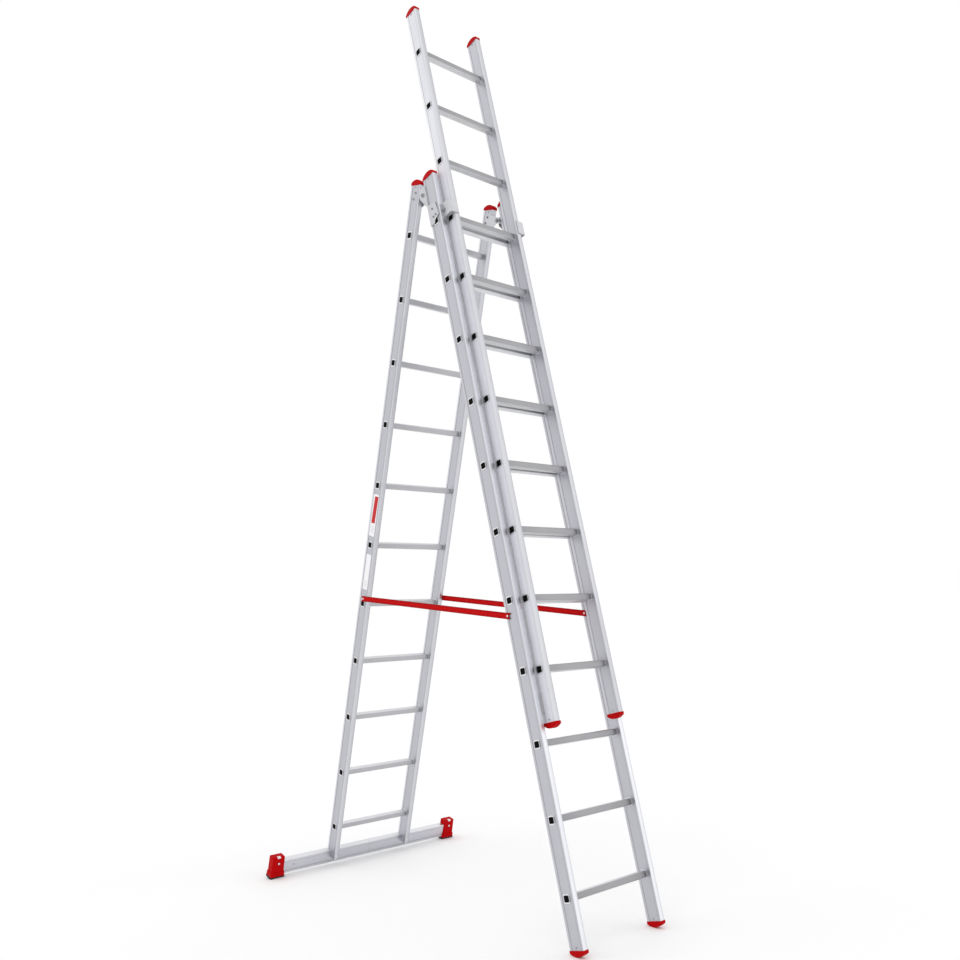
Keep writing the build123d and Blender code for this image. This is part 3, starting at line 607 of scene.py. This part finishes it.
def rung_rims():
    outer = rolled_rim(SWAGE, RIM_CORNER, RIM_WIDE, RIM_THICK)
    inner = rolled_rim(BEAD, BEAD_CORNER, BEAD_WIDE, BEAD_THICK)
    for section in PLACE:
        copies = []
        face = WIDTH[section] / 2 + RIM_OUT
        bead = WIDTH[section] / 2 - THICK - BEAD_OUT
        for index in range(RUNGS):
            for side in SIDES:
                out = Matrix.Rotation(side * math.pi / 2, 4, "Y")
                spot = PLACE[section] @ Matrix.Translation((side * face, 0, index * PITCH)) @ out
                copies.append(copy_to(outer, "rim", spot))
                into = Matrix.Rotation(-side * math.pi / 2, 4, "Y")
                spot = PLACE[section] @ Matrix.Translation((side * bead, 0, index * PITCH)) @ into
                copies.append(copy_to(inner, "bead", spot))
        piece = joined(copies, section + "_rung_rims")
        settle(piece, section, finish["rivet"])
    drop(outer)
    drop(inner)


# ---- bolts, nuts and rivets, each with its head towards +z and its seat at z = 0 ----
# radius and thickness of each head and nut, then the radius of its socket or of its bolt's end
SMALL_HEAD, LARGE_HEAD, POP_HEAD = (0.0052, 0.0030, 0.0022), (0.0090, 0.0050, 0.0040), (0.0034, 0.0014, 0.0010)
SMALL_NUT, PIVOT_NUT = (0.0052, 0.0030, 0.0030), (0.0090, 0.0050, 0.0058)
STRAP_HEAD, STRAP_WASHER = (0.0046, 0.0020, 0.0014), 0.0052

# places of the hinge bolts in their section's frame, y then z
HINGE_CLEAR = SPAN + SWAGE + 0.0062
HINGE_BOLTS_FRONT = ((0.007, HINGE_CLEAR + 0.038), (0.008, HINGE_CLEAR), (-0.008, HINGE_CLEAR + 0.003))
HINGE_BOLTS_REAR = ((-0.005, SPAN + 0.181), (0.005, SPAN + 0.155))
PIVOT_NUT_GAP = 0.0003

# places of the other screws and rivets, from the edges of what they hold
GUIDE_UP, GUIDE_WEB, GUIDE_SHEET, GUIDE_SCREW_AHEAD, GUIDE_GAP = 0.030, 0.023, 0.003, 0.051, 0.001
SHOE_INSET, SHOE_UP, SHOE_SCREW_DROP, SHOE_FRONT = 0.025, 0.024, 0.008, 0.0225
BAR_RIVET_IN, BAR_RIVET_DROP = 0.084, 0.030
END_RIVET_TOP, END_RIVET_FOOT = 0.009, 0.010


def domed_head(name, radius, thick, socket=0.0):
    """A round head with a domed edge and, where it has one, a round socket."""
    head = disc(name, radius, 0, thick, 28)
    open_up(head)
    pick(head, "EDGE", lambda e: sharp(e, 60) and middle_of(e).z > thick * 0.9)
    bpy.ops.mesh.bevel(offset=min(thick * 0.85, radius * 0.6), segments=4, affect="EDGES")
    if socket:
        pick(head, "FACE", lambda f: f.normal.z > 0.95 and f.calc_center_median().z > thick * 0.9)
        rim = [abs(v.co.x) for v in bmesh.from_edit_mesh(head.data).verts if v.co.z > thick * 0.98]
        flat = max(rim, default=radius)
        bpy.ops.mesh.inset(thickness=max(flat - socket, flat * 0.15))
        bpy.ops.mesh.extrude_region_move(TRANSFORM_OT_translate={"value": (0, 0, -thick * 0.5)})
    shut()
    smooth(head, 40)
    return head


def hex_nut(name, radius, thick, thread):
    """A hexagon nut with eased corners, on a washer, with the end of its bolt standing out of it."""
    nut = disc(name, radius, 0.0008, thick, 6)
    open_up(nut)
    pick(nut, "EDGE", sharp)
    bpy.ops.mesh.bevel(offset=0.0004, segments=2, affect="EDGES")
    shut()
    washer = disc("washer", radius * 1.12, 0, 0.0009, 28)
    end = disc("end", thread, thick * 0.5, thick + 0.0018, 20)
    open_up(end)
    pick(end, "EDGE", lambda e: sharp(e, 60) and middle_of(e).z > thick)
    bpy.ops.mesh.bevel(offset=0.0005, segments=2, affect="EDGES")
    shut()
    whole = joined([nut, washer, end], name)
    smooth(whole, 35)
    return whole


def along_x(side, x, y, z):
    """Seat on an outer (side times +x) face in a section's frame."""
    return Matrix.Translation((side * x, y, z)) @ Matrix.Rotation(side * math.pi / 2, 4, "Y")


def along_y(way, x, y, z):
    return Matrix.Translation((x, y, z)) @ Matrix.Rotation(-way * math.pi / 2, 4, "X")


def hinge_fasteners(add, small, nut, large, pivot_nut):
    """Bolts through the hinge plates, and the two pivot bolts."""
    outer = WIDTH["middle"] / 2 + HINGE_PLATE
    inner = WIDTH["middle"] / 2 - THICK + BAND_DEEP
    rear_outer = WIDTH["rear"] / 2 - BAND_DEEP
    rear_inner = WIDTH["rear"] / 2 - THICK - HINGE_PLATE
    for side in SIDES:
        for y, z in HINGE_BOLTS_FRONT:
            add("hinge_bolts_front", "middle", small, along_x(side, outer, y, z))
            add("hinge_bolts_front", "middle", nut, along_x(-side, -inner, y, z))
        height = SPAN + HINGE_ABOVE
        inside = rear_inner - PIVOT_NUT_GAP
        add("hinge_pivot_bolts", "middle", large, along_x(side, outer, HINGE_BEHIND, height))
        add("hinge_pivot_bolts", "middle", pivot_nut, along_x(-side, -inside, HINGE_BEHIND, height))
        for y, z in HINGE_BOLTS_REAR:
            add("hinge_bolts_rear", "rear", small, along_x(side, rear_outer, y, z))
            add("hinge_bolts_rear", "rear", nut, along_x(-side, -rear_inner, y, z))


def guide_fasteners(add, small):
    """Screws of the guides' sliders, and the bolts that hold the guides to the middle stiles."""
    web = WIDTH["upper"] / 2 + GUIDE_WEB
    strip = (web + WIDTH["middle"] / 2 - GUIDE_GAP) / 2
    ahead = -DEPTH["middle"] / 2 - GUIDE_SHEET
    for side in SIDES:
        add("guide_screws", "middle", small, along_x(side, web, -GUIDE_SCREW_AHEAD, SPAN + GUIDE_UP))
        add("guide_bolts", "middle", small, along_y(-1, side * strip, ahead, SPAN + GUIDE_UP))


def bar_fasteners(add, small, nut, pop):
    """Bolts through the stabiliser bar and the rear stiles, the shoes' screws and the bar's rivet."""
    stile_x, stile_z = WIDTH["rear"] / 2 - THICK / 2, -BAR_TOP - (BELOW["rear"] - BAR_TOP) / 2
    shoe_x, shoe_z = BAR_LONG / 2 - SHOE_INSET, -BAR_TOP - SHOE_SCREW_DROP
    for side in SIDES:
        add("stabiliser_bolts", "rear", small, along_y(-1, side * stile_x, -DEPTH["rear"] / 2, stile_z))
        add("stabiliser_bolts", "rear", nut, along_y(1, side * stile_x, BAR_DEEP, stile_z))
        add("shoe_screws", "rear", small, along_y(-1, side * shoe_x, BAR_DEEP / 2 - SHOE_FRONT, shoe_z))
    left = BAR_RIVET_IN - shoe_x
    add("bar_rivet", "rear", pop, along_y(-1, left, BAND_DEEP, -BAR_TOP - BAR_RIVET_DROP))


def end_rivets(add, pop):
    """Rivets that hold the caps and feet, inside and outside each stile."""
    tops = [(section, SPAN + ABOVE[section] - END_RIVET_TOP) for section in ("middle", "upper", "rear")]
    feet = [(section, END_RIVET_FOOT - BELOW[section]) for section in ("middle", "upper")]
    for side in SIDES:
        for section, place in tops + feet:
            outside, inside = WIDTH[section] / 2 - BAND_DEEP, WIDTH[section] / 2 - THICK + BAND_DEEP
            add("end_rivets", section, pop, along_x(side, outside, 0, place))
            add("end_rivets", section, pop, along_x(-side, -inside, 0, place))


def fasteners():
    """Copies of each head and nut in place, by the name and section of their set."""
    small, large, pop = (domed_head("head", *sizes) for sizes in (SMALL_HEAD, LARGE_HEAD, POP_HEAD))
    nut, pivot_nut = (hex_nut("nut", *sizes) for sizes in (SMALL_NUT, PIVOT_NUT))
    sets = {}

    def add(name, section, sample, spot):
        sets.setdefault((name, section), []).append(copy_to(sample, "part", PLACE[section] @ spot))

    hinge_fasteners(add, small, nut, large, pivot_nut)
    guide_fasteners(add, small)
    bar_fasteners(add, small, nut, pop)
    end_rivets(add, pop)
    for sample in (small, large, pop, nut, pivot_nut):
        drop(sample)
    return sets


SETS = {
    "hinge_bolts_front": ("bolt_steel", "bolt", ["hinge_bolts_front"]),
    "hinge_pivot_bolts": ("bolt_steel", "bolt", ["hinge_pivot_bolts"]),
    "hinge_bolts_rear": ("bolt_steel", "bolt", ["hinge_bolts_rear"]),
    "guide_screws": ("bolt_steel", "bolt", ["guide_screws"]),
    "guide_bolts": ("bolt_steel", "bolt", ["guide_bolts"]),
    "stabiliser_bolts": ("bolt_steel", "rivet", ["stabiliser_bolts"]),
    "shoe_screws": ("bolt_steel", "rivet", ["stabiliser_shoe_screws"]),
    "end_rivets": ("bolt_steel", "bolt", []),
    "bar_rivet": ("bolt_steel", "bolt", []),
}


def fasten():
    for (name, section), parts in fasteners().items():
        slot, material, stands_for = SETS[name]
        label = f"{name}_{section}" if name == "end_rivets" else name + "_detailed"
        settle(joined(parts, label), section, finish[material], stands_for)


CLIP_HALF, CLIP_LONG, CLIP_LOW, CLIP_STAND, CLIP_FRONT = 0.008, 0.012, 0.0070, 0.0004, 0.0205


def shoe_clips():
    """A bright pressed clip over the top front edge of each stabiliser shoe."""
    parts = []
    for side in SIDES:
        x, top, front = side * (BAR_LONG / 2 - SHOE_INSET), SHOE_UP - BAR_TOP, BAR_DEEP / 2 - CLIP_FRONT
        clip = block("clip", (x - CLIP_HALF, front, top - CLIP_LOW),
                     (x + CLIP_HALF, front + CLIP_LONG, top + CLIP_STAND))
        open_up(clip)
        pick(clip, "EDGE", lambda e: sharp(e) and middle_of(e).y < front + 0.001 and middle_of(e).z > top)
        bpy.ops.mesh.bevel(offset=0.0032, segments=4, affect="EDGES")
        pick(clip, "EDGE", lambda e: sharp(e, 60))
        bpy.ops.mesh.bevel(offset=0.0005, segments=2, affect="EDGES")
        shut()
        smooth(clip, 40)
        parts.append(copy_to(clip, "part", PLACE["rear"]))
        drop(clip)
    settle(joined(parts, "shoe_clips"), "rear", finish["rivet"])


# ---- straps ----
STRAP_WIDE, STRAP_THICK, STAND, TAIL = 0.025, 0.0018, 0.002, 0.016
NOTCH_LONG, NOTCH_DEEP = 0.014, 0.0095
REAR_HOLD = Vector((0, -0.004, 4 * PITCH + SWAGE + 0.006))
FRONT_HOLD = Vector((0, 0.024, 4 * PITCH - 0.056))


def strap_holds(side):
    """Rear and front rivets of a strap, on its middle line."""
    stand = STAND + STRAP_THICK / 2
    front_x = WIDTH["middle"] / 2 + stand if side < 0 else WIDTH["middle"] / 2 - THICK - stand
    rear_x = WIDTH["rear"] / 2 + stand
    rear = PLACE["rear"] @ (REAR_HOLD + Vector((side * rear_x, 0, 0)))
    front = PLACE["middle"] @ (FRONT_HOLD + Vector((side * front_x, 0, 0)))
    return rear, front


def strap_place(side):
    """The strap's own frame at its middle: x along it to the front, z out of its outer face."""
    rear, front = strap_holds(side)
    along = (front - rear).normalized()
    out = Vector((side, 0, 0))
    out = (out - along * out.dot(along)).normalized()
    turn = Matrix((along, out.cross(along), out)).transposed().to_4x4()
    return Matrix.Translation((rear + front) / 2) @ turn, (front - rear).length


def webbing_strap(side, hand):
    """A taut strap of webbing, a little crowned, with a notched tail at each end."""
    place, length = strap_place(side)
    whole = length + 2 * TAIL
    bpy.ops.object.select_all(action="DESELECT")
    bpy.ops.mesh.primitive_plane_add(size=1)
    strap = bpy.context.object
    strap.name = strap.data.name = "strap_webbing_" + hand
    open_up(strap)
    bpy.ops.mesh.select_all(action="SELECT")
    bpy.ops.transform.resize(value=(whole, STRAP_WIDE, 1))
    pick(strap, "EDGE", lambda e: abs(e.verts[0].co.x - e.verts[1].co.x) > whole / 2)
    bpy.ops.mesh.subdivide(number_cuts=219)
    pick(strap, "EDGE", lambda e: abs(e.verts[0].co.y - e.verts[1].co.y) > STRAP_WIDE / 2)
    bpy.ops.mesh.subdivide(number_cuts=9)
    mesh = bmesh.from_edit_mesh(strap.data)
    weave = mesh.loops.layers.uv.new("weave")
    for face in mesh.faces:
        for loop in face.loops:
            loop[weave].uv = (loop.vert.co.x, loop.vert.co.y / STRAP_WIDE + 0.5)
    for vertex in mesh.verts:
        share = 2 * vertex.co.y / STRAP_WIDE
        crown = 0.00035 * (1 - share ** 2) - 0.0002 * math.exp(-((abs(share) - 0.8) / 0.08) ** 2)
        wave = 0.00025 * math.sin(vertex.co.x * 23 + side) * share
        vertex.co.z = crown + wave
        near_end = max(0.0, abs(vertex.co.x) - (whole / 2 - NOTCH_LONG)) / NOTCH_LONG
        vertex.co.x -= math.copysign(NOTCH_DEEP * near_end * (1 - abs(share)), vertex.co.x)
    bmesh.update_edit_mesh(strap.data)
    shut()
    modify(strap, "SOLIDIFY", thickness=STRAP_THICK - 0.0003, offset=0.0)
    modify(strap, "BEVEL", width=0.00035, segments=2, limit_method="ANGLE", angle_limit=math.radians(60))
    smooth(strap, 60)
    strap.matrix_world = place
    only(strap)
    bpy.ops.object.transform_apply(location=True, rotation=True, scale=True)
    settle(strap, None, finish["webbing"], ["strap_" + hand])
    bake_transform(strap)


def strap_rivets():
    """Domed rivets and cupped washers that hold the straps' ends."""
    head = domed_head("head", *STRAP_HEAD)
    for body in ("middle", "rear"):
        parts = []
        for side in SIDES:
            place, length = strap_place(side)
            x = length / 2 if body == "middle" else -length / 2
            away = -1 if side > 0 and body == "middle" else 1
            turn = Matrix.Rotation(math.pi, 4, "X") if away < 0 else Matrix.Identity(4)
            spot = place @ Matrix.Translation((x, 0, away * (STRAP_THICK / 2 - 0.0001))) @ turn
            parts.append(copy_to(head, "part", spot))
            reach = BAND_DEEP if body == "rear" else 0
            low = STRAP_THICK / 2 + STAND + reach - 0.0002
            washer = disc("washer", STRAP_WASHER, -low, -STRAP_THICK / 2 + 0.0003, 24)
            parts.append(copy_to(washer, "part", place @ Matrix.Translation((x, 0, 0)) @ turn))
            drop(washer)
        piece = joined(parts, "strap_rivets_" + body + "_detailed")
        settle(piece, body, finish["rivet"], ["strap_rivets_" + body])
    drop(head)


# ---- labels on the rear section's left stile ----
FILM, FILM_STAND, FILM_CORNER = 0.0003, 0.00005, 0.006
UPPER_LABEL = (5 * PITCH + 0.042, 6 * PITCH - 0.042, 0.0435)
LOWER_LABEL = (4 * PITCH + 0.068, 5 * PITCH - 0.045, 0.040)


def label(name, low, high, wide, material):
    """A thin film with round corners in the stile's sunk band."""
    middle, tall = (low + high) / 2, high - low
    bpy.ops.object.select_all(action="DESELECT")
    bpy.ops.mesh.primitive_plane_add(size=1)
    film = bpy.context.object
    open_up(film)
    bpy.ops.mesh.select_all(action="SELECT")
    bpy.ops.transform.resize(value=(wide, tall, 1))
    bpy.ops.mesh.bevel(offset=FILM_CORNER, segments=5, affect="VERTICES")
    mesh = bmesh.from_edit_mesh(film.data)
    printed = mesh.loops.layers.uv.new("print")
    for face in mesh.faces:
        for loop in face.loops:
            loop[printed].uv = (loop.vert.co.x / wide + 0.5, loop.vert.co.y / tall + 0.5)
    bmesh.update_edit_mesh(film.data)
    shut()
    modify(film, "SOLIDIFY", thickness=FILM, offset=1.0)
    face = -(WIDTH["rear"] / 2 - BAND_DEEP)
    turn = Matrix(((0, 0, -1), (-1, 0, 0), (0, 1, 0))).to_4x4()
    made = copy_to(film, name, PLACE["rear"] @ Matrix.Translation((face - FILM_STAND, 0, middle)) @ turn)
    settle(made, "rear", material)
    drop(film)


# ---- stage ----
# name, direction towards the lamp, strength and spread in degrees
LAMPS = (("key", (0.62, -0.66, 0.42), 0.14, 50), ("fill", (-0.5, 0.2, 0.8), 0.25, 70))
FLOOR_SIZE, FLOOR_DOWN = 120, 0.0005
EYE, AZIMUTH, RISE, ROLL = (-2.66944, -3.26153, 1.28918), 0.74192, 0.03596, -0.02062
SENSOR, LENS, SHIFT = 36.0, 35.402, (-0.0430, 0.0882)


def stage():
    bpy.ops.object.select_all(action="DESELECT")
    bpy.ops.mesh.primitive_plane_add(size=FLOOR_SIZE, location=(0, 0, -FLOOR_DOWN))
    floor = bpy.context.object
    floor.name = "floor"
    paint = Paint("pale_floor", specular_ior_level=0.1)
    cloud = paint.noise(paint.place(), 0.8, 2.0, 0.5)
    shade = paint.mix(cloud, (0.93, 0.93, 0.93), (0.95, 0.95, 0.95))
    paint.set(**{"Base Color": shade, "Roughness": 0.9 - cloud * 0.1})
    floor.data.materials.append(paint.material)
    world = bpy.data.worlds.new("studio")
    bpy.context.scene.world = world
    world.use_nodes = True
    around = world.node_tree.nodes["Background"].inputs
    around["Color"].default_value, around["Strength"].default_value = (1.0, 1.0, 1.0, 1), 1.0
    for name, towards, strength, spread in LAMPS:
        lamp = bpy.data.lights.new(name, "SUN")
        lamp.energy, lamp.angle = strength, math.radians(spread)
        holder = bpy.data.objects.new(name, lamp)
        holder.rotation_euler = Vector(towards).to_track_quat("Z", "Y").to_euler()
        bpy.context.scene.collection.objects.link(holder)
    bpy.context.scene.view_settings.view_transform = "Standard"


def camera():
    """At a standing viewer's eye, a little to the left of the climbing side."""
    ahead = Vector((math.sin(AZIMUTH) * math.cos(RISE), math.cos(AZIMUTH) * math.cos(RISE), math.sin(RISE)))
    level = Vector((math.cos(AZIMUTH), -math.sin(AZIMUTH), 0))
    over = level.cross(ahead)
    right = level * math.cos(ROLL) + over * math.sin(ROLL)
    up = over * math.cos(ROLL) - level * math.sin(ROLL)
    lens = bpy.data.cameras.new("viewer")
    lens.sensor_width, lens.lens = SENSOR, LENS
    lens.shift_x, lens.shift_y = SHIFT
    viewer = bpy.data.objects.new("viewer", lens)
    viewer.matrix_world = Matrix.Translation(EYE) @ Matrix((right, up, -ahead)).transposed().to_4x4()
    bpy.context.scene.collection.objects.link(viewer)
    bpy.context.scene.camera = viewer


camera()
stage()
end_caps()
rung_rims()
fasten()
shoe_clips()
for side, hand in zip(SIDES, HANDS):
    webbing_strap(side, hand)
strap_rivets()
label("label_upper", *UPPER_LABEL, label_finish(1.0))
label("label_lower", *LOWER_LABEL, label_finish(0.0))
